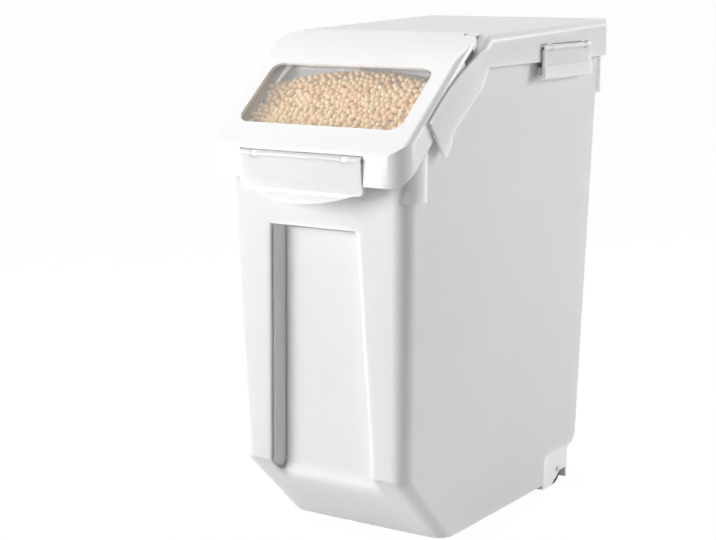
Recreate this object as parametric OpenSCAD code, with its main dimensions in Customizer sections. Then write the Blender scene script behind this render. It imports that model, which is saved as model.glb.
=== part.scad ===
// Kitchen rice bin: a drafted tub on two rear wheels, a clipped-on cover with a sloped mouth,
// and a hinged flip lid with a clear window. Millimetres, +Z up, the front faces -Y.
// The origin is the middle of the bounding box at the floor.

/* [Tub] */
// Width of the tub at its floor
tub_w = 170; // [140:1:210]
// Depth of the tub at its floor, before the toe is cut back
tub_d = 339; // [290:1:400]
// Distance of the tub's middle behind the origin
tub_back = 12; // [0:0.5:25]
// Outward lean of the side walls, in degrees
side_lean = 1.84; // [0.5:0.02:3]
// Outward lean of the front wall, in degrees
front_lean = 2.67; // [1:0.01:4]
// Outward lean of the rear wall, in degrees
rear_lean = 0.74; // [0.2:0.02:2]
// Wall and floor thickness
wall = 2.8; // [2:0.1:4]
// Radius of the upright corners
corner_r = 15; // [10:0.5:24]
// Height of the sloping toe under the front
toe_h = 70; // [40:1:100]
// How far the toe cuts back along the floor
toe_run = 70.5; // [40:0.5:100]

/* [Front panel recess] */
// Width of the recess at its top
recess_top_w = 89; // [60:1:110]
// Width that the recess gains from its top to the toe
recess_flare = 18; // [0:1:30]
// Depth of the recess
recess_depth = 14.4; // [6:0.2:20]
// Slope of the recess sides, measured across the face
recess_draft = 4; // [1:0.5:8]
// Distance of the recess top below the lid's lower edge
recess_drop = 41.5; // [30:0.5:110]

/* [Cover] */
// Height of the ridge, where the flat top meets the slope
ridge_z = 455; // [400:1:520]
// Height of the flat top over the ridge line, at the ridge
top_step = 2.5; // [1:0.1:4]
// Rise of the flat top from the ridge to the rear
top_rise = 8; // [0:0.5:12]
// Radius of the cover's top edges
cap_edge_r = 7; // [5:0.5:9]
// Horizontal run of the slope, from the ridge to the front
mouth_run = 124.8; // [110:0.2:140]
// Slope of the mouth, in degrees
slope_deg = 39; // [34:0.5:42]
// Cover thickness
cap_wall = 2.6; // [2:0.1:3.5]
// Depth of the skirt under the flat top
skirt_h = 25; // [20:0.5:32]
// Width of the sloped side bands at the ridge
band_h = 25.5; // [24:0.5:30]
// Width of the sloped side bands at their front ends
band_front_h = 21.5; // [20:0.5:30]
// Distance of the bands' ends from the front edge, along the slope
band_short = 42.6; // [40:0.2:60]
// How far the tab at the end of each band hangs below it
tab_h = 8; // [2:0.5:10]
// Distance of the rails' top edge below the lid's top
rail_drop = 5.6; // [4:0.2:10]
// Fall of the rails' top edge from its straight front part to the ridge
rail_fall = 16.6; // [13:0.2:20]
// Length of the straight front part of the rails
rail_l = 20; // [10:1:40]
// Overhang of the cover behind the tub
rear_overhang = 8.6; // [8:0.1:14]
// Length of the flap that hangs behind the rear wall
rear_flap_h = 37; // [20:1:60]
// Play between the cover and the tub
cap_play = 0.4; // [0.3:0.05:0.8]
// How far the rim band stands out of the tub wall
rim_reach = 2.2; // [2:0.1:4]
// Height of the rim band
rim_h = 12; // [8:0.5:16]
// Thickness of the soft seals
seal_t = 3; // [2:0.1:4]
// Free play on each face of a seal
seal_play = 0.3; // [0.2:0.05:0.5]
// Height of the upstand round the mouth
upstand_h = 4; // [3:0.5:5]
// Thickness of the upstand
upstand_t = 2.4; // [1.8:0.1:3]
// Width of the frame beside the mouth
mouth_margin = 9.4; // [9:0.2:14]
// Width of the frame below the mouth, along the slope
mouth_lip = 14.6; // [13:0.2:20]

/* [Flip lid] */
// Height of the lid above the slope
lid_h = 16; // [14:0.5:20]
// Lid shell thickness
lid_wall = 2.6; // [2:0.1:3.2]
// Overhang of the lid in front of the tub
lid_overhang = 11.2; // [9:0.2:16]
// Height of the lid's front skirt
lid_skirt_h = 27; // [22:0.5:34]
// Radius between the lid's top and its front skirt
lid_nose_r = 9; // [5:0.5:12]
// Radius of the lid's front corners
lid_corner_r = 21; // [14:0.5:28]
// Radius of the lid's rear corners
lid_rear_r = 14; // [8:0.5:20]
// Radius of the lid's side edges
lid_edge_r = 6; // [4:0.5:8]
// Distance of the lid's sides inside the cover's sides
lid_inset = 3.5; // [3:0.1:6]
// Distance of the window's sides inside the mouth's sides
window_side = 5; // [4.5:0.5:24]
// Distance of the window's lower edge above the mouth's lower edge, along the slope
window_low = 13; // [10:0.5:36]
// How far the window reaches up past the start of the lid's flat top
window_rise = 1.2; // [0:0.1:1.5]
// Radius of the window's corners
window_r = 12; // [6:0.5:18]
// Thickness of the window's flange
window_t = 1.4; // [1.2:0.1:2]
// Radius of the hinge barrel
barrel_r = 5; // [4:0.1:6]
// Radius of the hinge pins
pin_r = 1.75; // [1.25:0.05:2.25]
// Radial play of a pin in what turns on it
pin_play = 0.06; // [0.02:0.01:0.1]
// Distance of the hinge's outer ends from the lid's sides
hinge_inset = 9; // [7:0.5:16]
// Width of each hinge lug on the cover
lug_w = 10; // [7:0.5:14]

/* [Front latch] */
// Width of the latch at its hinge
latch_w = 124; // [90:1:130]
// Width of the finger lip along the latch's lower edge
latch_lip_w = 106; // [80:1:116]
// Height of the latch from its pin to its lip
latch_drop = 36; // [32:0.5:42]
// Latch thickness
latch_t = 2.8; // [2:0.1:3.5]
// How far the finger lip stands forward
latch_lip = 6; // [3:0.5:8]
// Depth of the pocket in the lid skirt behind the latch
latch_pocket = 4; // [3:0.2:5]
// How far the latch hook reaches under the catch
hook_reach = 1.4; // [0.8:0.1:1.6]
// Free height between the hook and the catch
hook_play = 2.2; // [2:0.1:3]

/* [Side clips] */
// Length of a side clip
clip_l = 97; // [70:1:110]
// Height of a side clip below its pin
clip_drop = 28; // [26:0.5:36]
// Clip thickness
clip_t = 2.8; // [2:0.1:3.5]
// Distance of a clip's middle behind the ridge
clip_back = 146; // [130:1:160]

/* [Wheels and feet] */
// Radius of a wheel over its tyre
wheel_r = 18; // [15:0.5:19]
// Width of a wheel
wheel_w = 18; // [12:0.5:20]
// Thickness of the tyre
tyre_t = 4; // [2.5:0.5:6]
// Radius of an axle
axle_r = 2.5; // [2:0.1:3.5]
// Distance from the rear wall to the axles
axle_inset = 41.5; // [34:0.5:45]
// Thickness of the wheel brackets
bracket_t = 2.6; // [2:0.1:3.5]
// Length of the step that holds the wheels
step_l = 74; // [66:1:84]
// Height of the front feet, which is the tub's height over the ground
foot_h = 10; // [6:0.5:12]
// Radius of a front foot
foot_r = 9; // [6:0.5:12]

/* [Contents] */
// Distance of the grain's surface below the front wall's top
grain_drop = 2; // [0:1:100]
// Slope of the grain towards the front, in degrees
grain_slope = 26; // [15:1:28]
// Distance of the grain's crest behind the ridge
grain_crest = 34; // [20:1:60]
// Fall of the grain behind its crest, in degrees
grain_fall = 10; // [5:1:16]

/* [Hidden] */
$fn = 64;
HULL_FN = 32;
EPS = 0.02;
FAR = 600;

floor_z = foot_h;
tub_front_y = tub_back - tub_d / 2;
tub_rear_y = tub_back + tub_d / 2;
front_top_y = tub_front_y - (ridge_z - floor_z) * tan(front_lean);
toe_y = tub_front_y + toe_run;
toe_k = toe_run / toe_h + tan(front_lean);
toe_stretch = sqrt(1 + toe_k * toe_k);
rear_bevel = 30;
rear_bevel_h = 38;

ridge_y = front_top_y + mouth_run;
skirt_z = ridge_z - skirt_h;
cap_half = side_x(ridge_z) + rim_reach + cap_play + cap_wall;
cap_rear_y = rear_y(skirt_z) + rear_overhang;
cap_corner_r = corner_r + rim_reach + cap_play;
cap_front_y = front_top_y + 1.6;
cap_span = tub_d / 5;
rim_drop = cap_wall + seal_t + 2 * seal_play;
seal_inset = 0.6;
flat_k = top_rise / (cap_rear_y - ridge_y);
band_end = mouth_run / cos(slope_deg) - band_short;
tab_l = 13;
rail_h = lid_h - rail_drop;
rail_end = band_end - 1;
rail_flat = rail_end - rail_l;
front_flange_h = 12;

lid_half = cap_half - lid_inset;
lid_front_y = front_top_y - lid_overhang;
lid_skirt_z = slope_z(lid_front_y, -lid_h) - lid_skirt_h;
recess_top_z = lid_skirt_z - recess_drop;
lid_low = 8;
lid_lift = 0.5;
notch_start = 8;
notch_end = 42;
notch_h = 9;
frame_half = lid_half - lid_wall - 1;
frame_corner_r = lid_corner_r - lid_wall - 1;
mouth_half = frame_half - mouth_margin;
mouth_start = 31;
mouth_end = mouth_run / cos(slope_deg) - mouth_lip;
mouth_r = 12;
seal_w = 4;
window_half = mouth_half - window_side;

hinge_w = 2 * (lid_half - hinge_inset);
hinge_y = ridge_y + 1;
hinge_z = ridge_z - 1;
hinge_play = 0.6;
hinge_wall = 2.4;
side_play = 0.4;
lug_in = hinge_w / 2 - lug_w;
pin_len = 24;
lid_open_deg = 130;
lid_start_deg = 15;
lid_back_y = hinge_y - barrel_r - 2.5;
lid_top_r = (lid_h - slope_n(lid_tangent(barrel_r, lid_start_deg)))
    / (1 - cos(slope_deg - lid_start_deg));
lid_top_c = lid_tangent(barrel_r - lid_top_r, lid_start_deg);
window_start = slope_s(lid_top_c) - window_rise;
window_end = mouth_end - window_low;
nose_c = [lid_front_y + lid_nose_r, slope_z(lid_front_y + lid_nose_r, lid_nose_r - lid_h)];

latch_pin_y = lid_front_y + 0.4;
latch_pin_z = lid_skirt_z + 21;
latch_barrel_r = 3.4;
latch_low_z = latch_pin_z - latch_drop;
latch_lug_x = 46;
latch_lug_w = 6;
latch_panel_z = latch_low_z + 6.5;
latch_panel_r = 5;
lip_rise = 9;
lip_r = (latch_lip_w * latch_lip_w / 4 + lip_rise * lip_rise) / (2 * lip_rise);
hook_z = latch_low_z + 7;
hook_h = 3.5;
latch_in_y = latch_pin_y + 2.4;
catch_y = latch_in_y + 1.7;
catch_h = 4;
catch_half = 40;

clip_pin_x = cap_half + 0.9;
clip_pin_z = skirt_z + 12;
clip_y = ridge_y + clip_back;
clip_barrel_r = 3.2;
clip_pin_r = 1.4;
clip_low_z = clip_pin_z - clip_drop;
clip_in_x = cap_half + 0.7;
clip_hook_z = clip_low_z + 1;
clip_hook_h = 3.5;
ledge_x = cap_half - 1.6;
ledge_h = 6;
clip_lug_w = 6;
clip_lug_at = clip_l * 0.36;

ear_reach = 6;
ear_r = 22;
ear_drop = 15;
ear_z = lid_skirt_z - ear_drop;
ear_x = side_x(ear_z) + ear_reach;

step_y = tub_rear_y - step_l;
step_z = 2 * wheel_r + 4;
axle_y = tub_rear_y - axle_inset;
axle_z = wheel_r;
bracket_out_x = side_x(step_z) - 4;
wheel_gap = 1;
wheel_out_x = bracket_out_x - bracket_t - wheel_gap;
wheel_x = wheel_out_x - wheel_w / 2;
bracket_in_x = wheel_out_x - wheel_w - wheel_gap - bracket_t;
bracket_front_y = step_y + 1;
bracket_rear_y = axle_y + wheel_r + 3.6;
foot_inset = 37;
foot_back = 62;
foot_x = tub_w / 2 - foot_inset;
foot_y = toe_y + foot_back;
foot_plug_r = 4;
foot_plug_h = 6;
grain_gap = 0.4;
grain_front_z = slope_z(front_top_y, 0) - grain_drop;

// Outer wall positions at height z.
function side_x(z) = tub_w / 2 + (z - floor_z) * tan(side_lean);
function front_y(z) = tub_front_y - (z - floor_z) * tan(front_lean);
function rear_y(z) = tub_rear_y + (z - floor_z) * tan(rear_lean);

// Height of the cover's top surface at y, lowered by d measured square to the surface.
function flat_z(y, d) = ridge_z + top_step + (y - ridge_y) * flat_k - d;
function slope_z(y, d) = ridge_z + (y - ridge_y) * tan(slope_deg) - d / cos(slope_deg);
function cap_z(y, d) = min(flat_z(y, d), slope_z(y, d));
function bend_y(d) = ridge_y + (top_step + d * (1 / cos(slope_deg) - 1)) / (tan(slope_deg) - flat_k);

// Points of an arc about c from angle a to angle b.
function arc(c, r, a, b, n) = [for (i = [0:n]) c + r * [cos(a + (b - a) * i / n), sin(a + (b - a) * i / n)]];

// A point given by its distance down the slope and its height above the slope.
function on_slope_yz(s, n) = [ridge_y - s * cos(slope_deg) - n * sin(slope_deg),
    ridge_z - s * sin(slope_deg) + n * cos(slope_deg)];

// Extrudes a (y, z) outline along X, centred.
module along_x(w) {
    rotate([90, 0, 90]) linear_extrude(height = w, center = true) children();
}

// Moves children into the slope's own frame: -Y runs down the slope, +Z stands off it.
module on_slope() {
    translate([0, ridge_y, ridge_z]) rotate([slope_deg, 0, 0]) children();
}

// Moves children into the flat top's own frame.
module on_flat() {
    translate([0, ridge_y, ridge_z + top_step]) rotate([atan(flat_k), 0, 0]) children();
}

// A long bar along Y with its top at zero, with round top edges.
module round_bar(half, r) {
    rotate([90, 0, 0]) linear_extrude(height = 2 * FAR, center = true)
        polygon(concat([[-half, -FAR]], arc([r - half, -r], r, 180, 90, 8), arc([half - r, -r], r, 90, 0, 8),
            [[half, -FAR]]));
}

// A rectangle with round corners, made of squares and circles.
module round_rect(x0, x1, y0, y1, r) {
    translate([x0 + r, y0]) square([x1 - x0 - 2 * r, y1 - y0]);
    translate([x0, y0 + r]) square([x1 - x0, y1 - y0 - 2 * r]);
    for (x = [x0 + r, x1 - r]) for (y = [y0 + r, y1 - r]) translate([x, y]) circle(r = r);
}

// The outline under the cover's top surface lowered by d, between y0 and y1.
module under_cap(d, y0, y1) {
    polygon([[y0, 0], [y0, cap_z(y0, d)], [bend_y(d), cap_z(bend_y(d), d)], [y1, cap_z(y1, d)], [y1, 0]]);
}

// Distance down the slope and height over it of a (y, z) point.
function slope_s(p) = (ridge_y - p[0]) * cos(slope_deg) + (ridge_z - p[1]) * sin(slope_deg);
function slope_n(p) = (p[1] - ridge_z) * cos(slope_deg) - (p[0] - ridge_y) * sin(slope_deg);

// A point at radius r and slope a over the hinge.
function lid_tangent(r, a) = [hinge_y - r * sin(a), hinge_z + r * cos(a)];

// One round-cornered level of the tub's form.
module level(z, y0, y1, half, r) {
    for (x = [-half + r, half - r]) for (y = [y0 + r, y1 - r])
        translate([x, y, z]) cylinder(h = EPS, r = r, $fn = HULL_FN);
}

function toe_line(z, g) = toe_y - (z - floor_z) * toe_k - g * toe_stretch;
function toe_top(g) = floor_z + (toe_run - g * (toe_stretch - 1)) * toe_h / toe_run;

// The drafted form of the tub, grown outwards by g.
module tub_form(g) {
    low = floor_z - g;
    toe = toe_top(g);
    bevel = floor_z + rear_bevel_h;
    top = ridge_z + 20;
    hull() {
        level(low, toe_line(low, g), rear_y(low) + g - rear_bevel, side_x(low) + g, corner_r + g);
        level(bevel, toe_line(bevel, g), rear_y(bevel) + g, side_x(bevel) + g, corner_r + g);
        level(toe, front_y(toe) - g, rear_y(toe) + g, side_x(toe) + g, corner_r + g);
        level(top, front_y(top) - g, rear_y(top) + g, side_x(top) + g, corner_r + g);
    }
}

function recess_half(z) = recess_top_w / 2
    + (recess_top_z - z) * recess_flare / 2 / (recess_top_z - floor_z - toe_h);

// The recess in the front wall, grown by g.
module recess_form(g) {
    hull() for (z = [floor_z, recess_top_z + g]) {
        front = recess_half(z) + g;
        back = front - recess_draft;
        translate([-front, front_y(z) - 5, z]) cube([2 * front, EPS, EPS]);
        translate([-back, front_y(z) + recess_depth + g, z]) cube([2 * back, EPS, EPS]);
    }
}

// The step over the wheels, with its faces moved inwards by g.
module wheel_step(g) {
    translate([-FAR / 2, step_y - g, -1]) cube([FAR, FAR, step_z + g + 1]);
}

// The inside of the tub, shrunk by g.
module tub_cavity(g) {
    difference() {
        tub_form(-g);
        wheel_step(g);
        recess_form(g);
    }
}

// The outline of a strip along the cover's underside, from depth d0 to d1, behind the band's end.
module rim_strip(d0, d1, s_end) {
    y1 = cap_rear_y + 10;
    polygon([on_slope_yz(s_end, -d0), [bend_y(d0), cap_z(bend_y(d0), d0)], [y1, cap_z(y1, d0)],
        [y1, cap_z(y1, d1)], [bend_y(d1), cap_z(bend_y(d1), d1)], on_slope_yz(s_end, -d1)]);
}

// The blocks at the front corners, which end just under the lid's edge.
module ears() {
    y = front_y(ear_z);
    x = side_x(ear_z) - corner_r;
    intersection() {
        translate([0, 0, ear_z]) linear_extrude(height = FAR) difference() {
            round_rect(-ear_x, ear_x, y, y + 3 * ear_r, ear_r);
            translate([-x, y - 1]) square([2 * x, FAR]);
            translate([-FAR / 2, y + ear_r]) square(FAR);
        }
        along_x(FAR) under_cap(lid_low + 1, -FAR, 0);
    }
}

module clip_ledge(side) {
    x0 = side_x(clip_low_z) - wall / 2;
    z = clip_hook_z + clip_hook_h + side_play;
    translate([side > 0 ? x0 : -ledge_x, clip_y - clip_l / 2 + 4, z])
        cube([ledge_x - x0, clip_l - 8, ledge_h]);
}

module foot_at(side) {
    translate([side * foot_x, foot_y, 0]) children();
}

module tub() {
    z_catch = hook_z + hook_play;
    color("white") difference() {
        union() {
            difference() {
                intersection() {
                    tub_form(0);
                    along_x(FAR) under_cap(rim_drop, tub_front_y - cap_span, tub_rear_y + cap_span);
                }
                recess_form(0);
                wheel_step(0);
            }
            intersection() {
                tub_form(rim_reach);
                along_x(FAR) rim_strip(rim_drop, rim_drop + rim_h, band_end - 5);
            }
            ears();
            for (side = [-1, 1]) clip_ledge(side);
            translate([-catch_half, catch_y - hook_reach, z_catch])
                cube([2 * catch_half, front_y(z_catch) + wall / 2 - catch_y + hook_reach, catch_h]);
        }
        difference() {
            tub_cavity(wall);
            for (side = [-1, 1]) foot_at(side)
                cylinder(h = floor_z + foot_plug_h + wall, r = foot_plug_r + wall);
        }
        for (side = [-1, 1]) foot_at(side)
            cylinder(h = floor_z + foot_plug_h, r = foot_plug_r + pin_play);
    }
}

module front_foot(side) {
    color("dimgray") foot_at(side) {
        cylinder(h = floor_z, r = foot_r);
        cylinder(h = floor_z + foot_plug_h - side_play, r = foot_plug_r);
    }
}

module cap_plan(g) {
    translate([0, 0, -1]) linear_extrude(height = FAR)
        round_rect(g - cap_half, cap_half - g, -FAR, cap_rear_y - g, cap_corner_r - g);
}

// The top of the cover seen from the side, g inside its outer surface, closed by the points of rest.
module cap_outline(g, rest) {
    y = cap_rear_y - cap_edge_r;
    rear = arc([y, flat_z(y, cap_edge_r)], cap_edge_r - g, 0, 90 + atan(flat_k), 8);
    polygon(concat(rear, [[bend_y(g), cap_z(bend_y(g), g)]], rest));
}

// The cover's round top edges, g inside its outer surface.
module cap_edges(g) {
    intersection() {
        on_flat() translate([0, 0, -g]) round_bar(cap_half - g, cap_edge_r - g);
        on_slope() translate([0, 0, -g]) round_bar(cap_half - g, cap_edge_r - g);
    }
}

module frame_outline() {
    z = slope_z(cap_front_y, 0);
    y = cap_front_y + cap_wall;
    polygon([on_slope_yz(band_end - 10, 0), [cap_front_y, z], [cap_front_y, z - front_flange_h],
        [y, z - front_flange_h], [y, slope_z(y, cap_wall)], on_slope_yz(band_end - 10, -cap_wall)]);
}

module mouth(g, z0, h) {
    on_slope() translate([0, 0, z0]) linear_extrude(height = h)
        round_rect(-mouth_half - g, mouth_half + g, -mouth_end - g, g - mouth_start, mouth_r + g);
}

// A bar along the hinge line, from x0 to x1.
module hinge_bar(r, x0, x1) {
    translate([x0, hinge_y, hinge_z]) rotate([0, 90, 0]) cylinder(h = x1 - x0, r = r);
}

// The space behind the barrel that the open lid turns into.
module hinge_relief() {
    a = 180 + lid_start_deg - lid_open_deg;
    d = barrel_r + hinge_play;
    across = [sin(a), -cos(a)];
    up = [cos(a), sin(a)];
    hinge = [hinge_y, hinge_z];
    along_x(2 * lug_in) polygon([hinge, hinge + d * across, hinge + d * across + 14 * up, hinge + 14 * up]);
}

module clip_side(side) {
    translate([side * clip_pin_x, clip_y, clip_pin_z]) children();
}

module clip_bar(r, y0, y1) {
    translate([0, y0, 0]) rotate([-90, 0, 0]) cylinder(h = y1 - y0, r = r);
}

// The lugs that hang from the cover's side and carry a side clip, each grown by g.
module clip_lugs(side, g) {
    r = clip_barrel_r - 0.2;
    depth = clip_pin_x - cap_half + cap_wall;
    for (at = [-clip_lug_at, clip_lug_at]) translate([0, at - clip_lug_w / 2 - g, 0]) {
        clip_bar(r + g, 0, clip_lug_w + 2 * g);
        translate([side > 0 ? -depth : 0, 0, -r]) cube([depth, clip_lug_w + 2 * g, 2 * r + 2]);
    }
}

// Height of a rail's top over the slope, at distance s down the slope.
function rail_n(s) = rail_h - rail_fall * pow(max(0, rail_flat - s) / rail_flat, 2);

// The rails that stand outside the lid's sides.
module rails() {
    top = concat([for (i = [2:20]) let (s = rail_flat * i / 20) on_slope_yz(s, rail_n(s))],
        [on_slope_yz(rail_end, rail_h)]);
    for (side = [-1, 1]) translate([side * (cap_half + lid_half + side_play) / 2, 0, 0])
        along_x(cap_half - lid_half - side_play)
            polygon(concat(top,
                [on_slope_yz(rail_end, -band_front_h / 2), on_slope_yz(rail_flat / 10, -band_h / 2)]));
}

module rear_flap() {
    y = rear_y(ridge_z) + rim_reach + 0.5;
    half = cap_half - cap_corner_r + 8;
    translate([-half, y, skirt_z - rear_flap_h])
        cube([2 * half, cap_wall, flat_z(y, cap_wall) - skirt_z + rear_flap_h + cap_wall / 2]);
}

module cover_shell() {
    y_step = ridge_y - 9;
    tab = band_front_h + tab_h;
    band = [on_slope_yz(band_end, 0), on_slope_yz(band_end, -tab), on_slope_yz(band_end - tab_l, -tab),
        on_slope_yz(band_end - tab_l - tab_h, -band_front_h), [y_step, slope_z(y_step, band_h)],
        [ridge_y - 0.5, skirt_z], [cap_rear_y, skirt_z]];
    difference() {
        intersection() {
            along_x(FAR) cap_outline(0, band);
            cap_plan(0);
            cap_edges(0);
        }
        intersection() {
            along_x(FAR) cap_outline(cap_wall,
                [on_slope_yz(FAR / 2, -cap_wall), [cap_rear_y - cap_wall, -FAR]]);
            cap_plan(cap_wall);
            cap_edges(cap_wall);
        }
    }
    intersection() {
        along_x(FAR) frame_outline();
        translate([0, 0, -1]) linear_extrude(height = FAR)
            round_rect(-frame_half, frame_half, cap_front_y, cap_rear_y, frame_corner_r);
    }
    difference() {
        mouth(upstand_t, -cap_wall / 2, upstand_h + cap_wall / 2);
        mouth(0, -cap_wall, 2 * upstand_h + cap_wall);
    }
    intersection() {
        hinge_bar(barrel_r + hinge_play + hinge_wall, -hinge_w / 2, hinge_w / 2);
        along_x(FAR) under_cap(0, -FAR, cap_rear_y);
    }
    rails();
    rear_flap();
}

module cover() {
    color("whitesmoke") difference() {
        union() {
            difference() {
                cover_shell();
                mouth(0, -FAR / 10, FAR / 10 + 1);
                hinge_bar(barrel_r + hinge_play, -lug_in + EPS, lug_in - EPS);
                hinge_relief();
                for (side = [-1, 1]) clip_side(side)
                    translate([-clip_barrel_r - 0.6, -clip_l / 2 - side_play, -clip_barrel_r - 0.6])
                        cube([2 * clip_barrel_r + 1.2, clip_l + 2 * side_play, 2 * clip_barrel_r + 1.2]);
            }
            for (side = [-1, 1]) {
                hinge_bar(barrel_r, side > 0 ? lug_in : -hinge_w / 2, side > 0 ? hinge_w / 2 : -lug_in);
                clip_side(side) clip_lugs(side, 0);
            }
        }
        hinge_bar(pin_r + pin_play, -hinge_w / 2 - 1, hinge_w / 2 + 1);
        for (side = [-1, 1]) clip_side(side) clip_bar(clip_pin_r + pin_play, -clip_l / 2, clip_l / 2);
    }
}

// The seal's outline in plan, g inside the tub's outer face.
module seal_plan(g) {
    r = corner_r - g;
    low = slope_z(front_top_y, cap_wall);
    half = side_x(ridge_z) - g;
    near = side_x(low) - g;
    y0 = front_y(low) + g;
    y1 = rear_y(ridge_z) - g;
    right = concat(arc([near - r, y0 + r], r, -90, 0, 8), [[half, ridge_y]],
        arc([half - r, y1 - r], r, 0, 90, 8));
    left = concat(arc([r - half, y1 - r], r, 90, 180, 8), [[-half, ridge_y]],
        arc([r - near, y0 + r], r, 180, 270, 8));
    linear_extrude(height = FAR) polygon(concat(right, left));
}

module cover_seal() {
    d = cap_wall + seal_play;
    color("gainsboro") intersection() {
        difference() {
            seal_plan(seal_inset);
            translate([0, 0, -1]) seal_plan(seal_inset + wall + 1);
        }
        difference() {
            along_x(FAR) under_cap(d, tub_front_y - cap_span, tub_rear_y + cap_span);
            along_x(FAR + 1) under_cap(d + seal_t, tub_front_y - 2 * cap_span, tub_rear_y + 2 * cap_span);
        }
    }
}

// The top of the lid seen from the side, g inside its outer surface, closed by the points of rest.
module lid_outline(g, rest) {
    top = arc(lid_top_c, lid_top_r - g, 90 + lid_start_deg, 90 + slope_deg, 10);
    nose = arc(nose_c, lid_nose_r - g, 90 + slope_deg, 180, 8);
    polygon(concat(top, nose, rest));
}

module lid_plan(g) {
    half = lid_half - g;
    translate([0, 0, -1]) linear_extrude(height = FAR) intersection() {
        round_rect(-half, half, lid_front_y + g, FAR, lid_corner_r - g);
        round_rect(-half, half, -FAR, lid_back_y - g, lid_rear_r - g);
    }
}

// The lid's round side edges, g inside its outer surface.
module lid_edges(g) {
    on_slope() translate([0, 0, lid_h - g]) round_bar(lid_half - g, lid_edge_r - g);
}

module lid_solid() {
    low_y = ridge_y + (lid_skirt_z - slope_z(ridge_y, lid_low)) / tan(slope_deg);
    y_in = hinge_y - barrel_r + 1;
    s_end = band_end + side_play;
    rest = [[lid_front_y, lid_skirt_z], [low_y, lid_skirt_z], on_slope_yz(s_end, -lid_low),
        on_slope_yz(s_end, lid_lift), [y_in, slope_z(y_in, -lid_lift)], [hinge_y, hinge_z]];
    tongue = lug_in - side_play;
    intersection() {
        along_x(FAR) lid_outline(0, rest);
        union() {
            lid_plan(0);
            translate([-tongue, lid_back_y - lid_wall, 0]) cube([2 * tongue, FAR, FAR]);
        }
        lid_edges(0);
    }
}

module lid_hollow() {
    intersection() {
        along_x(FAR) lid_outline(lid_wall, [[lid_front_y + lid_wall, 0], [hinge_y, 0]]);
        lid_plan(lid_wall);
        lid_edges(lid_wall);
    }
}

// The notches in the lid's sides, next to the hinge.
module lid_notches() {
    difference() {
        along_x(FAR) polygon([on_slope_yz(notch_start, -2), on_slope_yz(notch_end, -2),
            on_slope_yz(notch_end - 1, notch_h), on_slope_yz(notch_end - 18, notch_h - 1),
            on_slope_yz(notch_start, notch_h / 4)]);
        along_x(2 * frame_half) square(FAR * 4, center = true);
    }
}

// The flat pocket in the skirt behind the latch, grown by g.
module latch_pocket_form(g) {
    half = latch_w / 2 + 1 + g;
    translate([-half, lid_front_y - 1, lid_skirt_z - 1])
        cube([2 * half, latch_pocket + 1 + g, latch_pin_z + latch_barrel_r + 0.8 + g - lid_skirt_z + 1]);
}

module window_form(g, z0, h) {
    on_slope() translate([0, 0, z0]) linear_extrude(height = h)
        round_rect(-window_half - g, window_half + g, -window_end - g, g - window_start, window_r + g);
}

module latch_bar(r, x0, x1) {
    translate([x0, latch_pin_y, latch_pin_z]) rotate([0, 90, 0]) cylinder(h = x1 - x0, r = r);
}

module latch_lugs(g) {
    for (side = [-1, 1]) {
        x0 = side * latch_lug_x - latch_lug_w / 2 - g;
        latch_bar(latch_barrel_r - 0.2 + g, x0, x0 + latch_lug_w + 2 * g);
        translate([x0, latch_pin_y, latch_pin_z - latch_barrel_r + 0.2 - g])
            cube([latch_lug_w + 2 * g, latch_pocket + 0.5, 2 * latch_barrel_r - 0.4 + 2 * g]);
    }
}

module flip_lid() {
    z_rib = upstand_h + seal_t + 2 * seal_play;
    color("white") difference() {
        union() {
            difference() {
                lid_solid();
                difference() {
                    lid_hollow();
                    latch_pocket_form(lid_wall);
                }
                latch_pocket_form(0);
            }
            intersection() {
                lid_solid();
                difference() {
                    mouth((upstand_t + seal_w) / 2, z_rib, 40);
                    mouth((upstand_t - seal_w) / 2, z_rib - 1, 42);
                }
            }
            hinge_bar(barrel_r, -lug_in + side_play, lug_in - side_play);
            latch_lugs(0);
        }
        lid_notches();
        window_form(0, 0, 60);
        hinge_bar(pin_r + pin_play, -hinge_w / 2, hinge_w / 2);
        latch_bar(pin_r - 0.25 + pin_play, -latch_lug_x - latch_lug_w, latch_lug_x + latch_lug_w);
    }
}

module window() {
    z_top = lid_h - lid_wall - 0.2;
    z_low = z_top - window_t;
    color("lightcyan", 0.4) {
        window_form(-0.2, z_low, lid_h - 0.4 - z_low);
        window_form(3.2, z_low, z_top - z_low);
    }
}

module lid_seal() {
    z = upstand_h + seal_play;
    color("gainsboro") difference() {
        mouth((upstand_t + seal_w) / 2, z, seal_t);
        mouth((upstand_t - seal_w) / 2, z - 1, seal_t + 2);
    }
}

module hinge_pin(side) {
    x = hinge_w / 2 - pin_len;
    color("silver") hinge_bar(pin_r, side > 0 ? x : -hinge_w / 2, side > 0 ? hinge_w / 2 : -x);
}

module latch_outline() {
    y_out = latch_in_y - latch_t;
    y_lip = y_out - latch_lip;
    tip_z = latch_low_z - 3;
    polygon([[latch_pin_y - latch_barrel_r + 0.3, latch_pin_z + 1], [y_out, latch_low_z + 4.5],
        [y_lip, tip_z + 2.5], [y_lip, tip_z], [y_lip + 2.4, tip_z], [latch_in_y - 0.4, latch_low_z + 2.2],
        [latch_in_y, hook_z - hook_h], [catch_y, hook_z - hook_h + 0.8], [catch_y, hook_z],
        [latch_in_y, hook_z], [latch_pin_y + 1, latch_pin_z - 1]]);
}

// The latch seen from the front: a panel with a bowed finger lip.
module latch_face() {
    half = latch_w / 2;
    round_rect(-half, half, latch_panel_z, latch_pin_z + latch_barrel_r + 2 * latch_panel_r, latch_panel_r);
    intersection() {
        translate([0, latch_panel_z - lip_rise + lip_r + EPS]) circle(r = lip_r);
        translate([-half, 0]) square([2 * half, latch_panel_z + 2 * EPS]);
    }
}

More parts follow.
